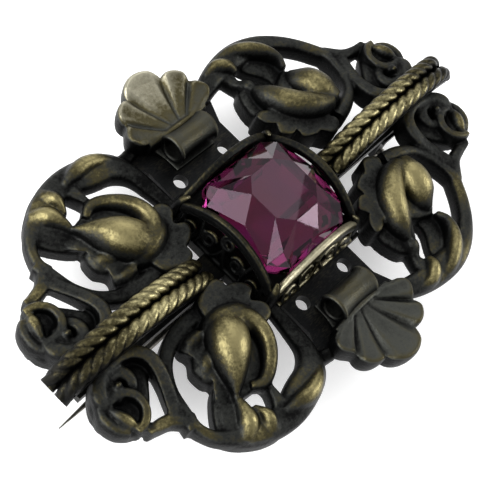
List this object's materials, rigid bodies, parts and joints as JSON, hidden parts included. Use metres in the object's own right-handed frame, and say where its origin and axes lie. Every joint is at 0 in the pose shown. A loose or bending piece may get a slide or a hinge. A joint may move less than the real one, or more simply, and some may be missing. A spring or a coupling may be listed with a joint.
{
  "type": "sash brooch",
  "caption": "Oval openwork brooch with four leaf scrolls, two shells and two rope straps round a domed square-cut stone; hinged pin and hook catch behind.",
  "frame": {"origin": "on the surface the brooch lies on, under the middle of the stone; the hinge ears and the catch touch z = 0", "axes": "+X along the length towards the hinge end, +Y across towards the upper shell, +Z out of the front of the brooch"},
  "size_m": [0.0606, 0.041, 0.0139],
  "materials": {
    "cast_brass": "oxidised brass, dark in the hollows and rubbed bright on the high spots",
    "sheet_brass": "oxidised sheet brass, dull",
    "rope_brass": "oxidised twisted wire, rubbed bright on the strands",
    "gallery_brass": "oxidised pierced gallery strip",
    "pin_wire": "drawn wire, tarnished",
    "stone_glass": "faceted amethyst-coloured glass"
  },
  "bodies": {
    "frame": {"back_plate": "sheet_brass", "catch": "sheet_brass", "corner_claws": "gallery_brass", "gallery_panel_left": "gallery_brass", "gallery_panel_lower": "gallery_brass", "gallery_panel_right": "gallery_brass", "gallery_panel_upper": "gallery_brass", "hinge_base": "sheet_brass", "rope_left_lower": "rope_brass", "rope_left_upper": "rope_brass", "rope_right_lower": "rope_brass", "rope_right_upper": "rope_brass", "scroll_left_lower": "cast_brass", "scroll_left_upper": "cast_brass", "scroll_right_lower": "cast_brass", "scroll_right_upper": "cast_brass", "shell_lower": "cast_brass", "shell_roll_lower": "cast_brass", "shell_roll_upper": "cast_brass", "shell_upper": "cast_brass", "stone": "stone_glass", "stone_seat": "sheet_brass", "strap_base_left": "sheet_brass", "strap_base_right": "sheet_brass"},
    "rivet": {"hinge_rivet": "pin_wire"},
    "pin": {"pin_stem": "pin_wire"}
  },
  "joints": [
    {"name": "pin_swing", "type": "hinge", "parent": "frame", "child": "rivet", "pos_m": [0.022, 0, 0.001], "axis": [0, -1, 0], "range_deg": [0, 105]},
    {"name": "pin_spring", "type": "hinge", "parent": "rivet", "child": "pin", "pos_m": [0.022, 0, 0.001], "axis": [0, 0, -1], "range_deg": [0, 1.65]}
  ]
}
